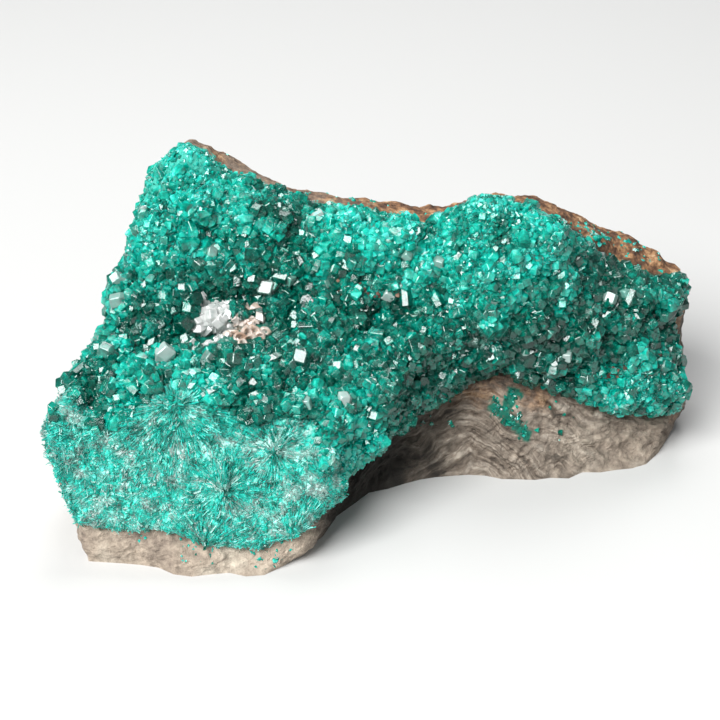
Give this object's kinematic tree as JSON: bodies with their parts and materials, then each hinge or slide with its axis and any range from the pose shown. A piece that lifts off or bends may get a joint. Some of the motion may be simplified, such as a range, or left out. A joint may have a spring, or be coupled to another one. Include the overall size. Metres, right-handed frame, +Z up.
{
  "type": "dioptase specimen",
  "caption": "Cabinet mineral specimen: emerald-green dioptase crystals in a thick crust on grey-brown dolomite rock, with a small group of pale calcite crystals.",
  "frame": {"origin": "on the plane of the flat base, under the middle of the bounding box", "axes": "+X to the viewer's right along the specimen's length, -Y towards the viewer out of the crystal-covered front, +Z up"},
  "size_m": [0.1088, 0.0676, 0.0527],
  "materials": {
    "dolomite": "rough broken rock, rusty brown on top",
    "dioptase": "glassy emerald-green crystals",
    "calcite": "glassy, near colourless to peach"
  },
  "bodies": {
    "root": {"matrix_rock": "dolomite", "dioptase_crust": "dioptase", "calcite_crystals": "calcite"}
  },
  "joints": []
}
